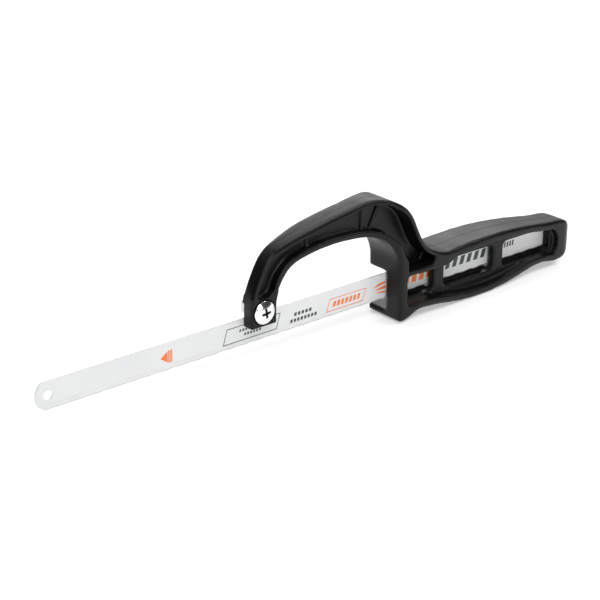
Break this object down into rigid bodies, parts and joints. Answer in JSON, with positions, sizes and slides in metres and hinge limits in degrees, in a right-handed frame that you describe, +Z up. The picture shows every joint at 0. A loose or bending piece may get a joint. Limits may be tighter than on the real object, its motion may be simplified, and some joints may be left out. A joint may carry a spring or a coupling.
{
  "type": "compact hacksaw",
  "caption": "Compact one-hand hacksaw: a straight metal-cutting blade passes through a moulded handle and is clamped by a screw at the foot of its bridge arm.",
  "frame": {"origin": "centre of the blade's front pin hole, in the middle of the blade's thickness", "axes": "+X along the blade towards the handle, +Z up from the teeth to the blade's back, -Y towards the side with the clamp screw's head"},
  "size_m": [0.314, 0.023, 0.0637],
  "materials": {
    "moulded_plastic": "black, semi-gloss, fine moulded grain",
    "blade_paint": "pale grey lacquer with printed marks",
    "blade_edge": "pale grey lacquer, bare at the tooth tips",
    "bright_steel": "bright nickel plate",
    "zinc_steel": "bright zinc plate"
  },
  "bodies": {
    "handle_frame": {"frame": "moulded_plastic"},
    "blade": {"blade_back": "blade_paint", "blade_tooth_edge": "blade_edge"},
    "screw": {"clamp_screw": "bright_steel"},
    "nut_and_washer": {"clamp_washer": "zinc_steel", "clamp_nut": "zinc_steel"}
  },
  "joints": [
    {"name": "blade_extend", "type": "slide", "parent": "handle_frame", "child": "blade", "axis": [-1, 0, 0], "range_m": [0, 0.1]},
    {"name": "screw_turn", "type": "hinge", "parent": "handle_frame", "child": "screw", "pos_m": [0.1064, 0, 0.0094], "axis": [0, -1, 0], "range_deg": [0, 540]},
    {"name": "nut_travel", "type": "slide", "parent": "handle_frame", "child": "nut_and_washer", "axis": [0, 1, 0], "range_m": [0, 0.0012]}
  ],
  "couplings": [
    {"joint": "screw_turn", "follows": "nut_travel", "rad_per_m": 7854}
  ]
}
